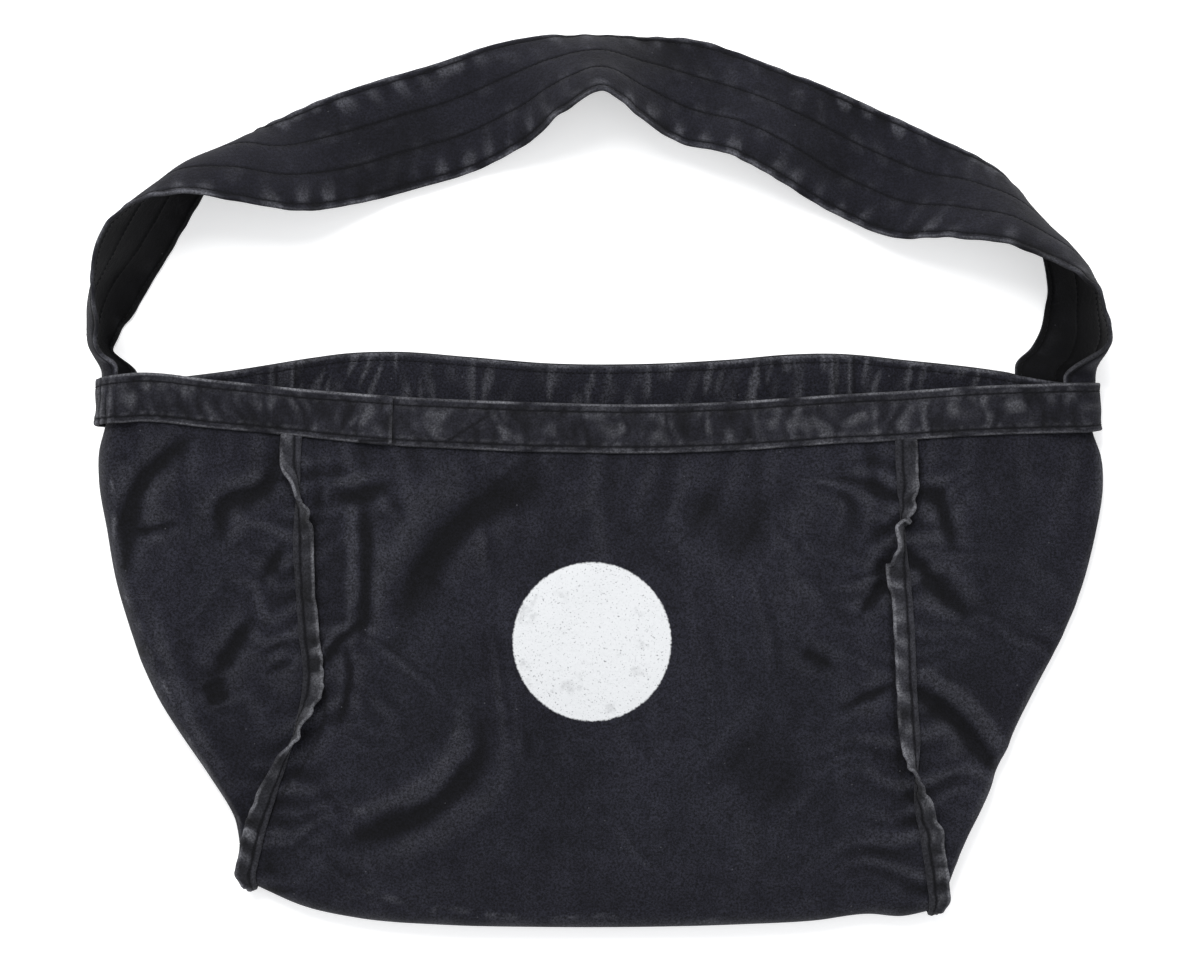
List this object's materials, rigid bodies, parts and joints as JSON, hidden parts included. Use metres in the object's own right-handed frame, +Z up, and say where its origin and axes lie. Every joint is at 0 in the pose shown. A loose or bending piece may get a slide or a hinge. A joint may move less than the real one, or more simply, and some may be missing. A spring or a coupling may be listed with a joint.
{
  "type": "newspaper delivery bag",
  "caption": "Wide black canvas shoulder bag for carrying newspapers, lying on its back with its strap arched above the open mouth.",
  "frame": {"origin": "on the floor under the middle of the bag and its strap", "axes": "+X across the bag to the right as it is pictured, +Y from the bottom fold to the strap, +Z up from the floor through the front"},
  "size_m": [0.6072, 0.5384, 0.0629],
  "materials": {
    "canvas": "washed cotton canvas, matt, faded black with a blue cast",
    "trim": "folded and stitched canvas, matt, worn paler on its edges",
    "strap": "layered canvas, matt, with rows of stitching"
  },
  "bodies": {
    "root": {"main_panel": "canvas", "gusset_left": "canvas", "gusset_right": "canvas", "seam_welt_left": "trim", "seam_welt_right": "trim", "rim_band": "trim", "shoulder_strap": "strap"}
  },
  "joints": []
}
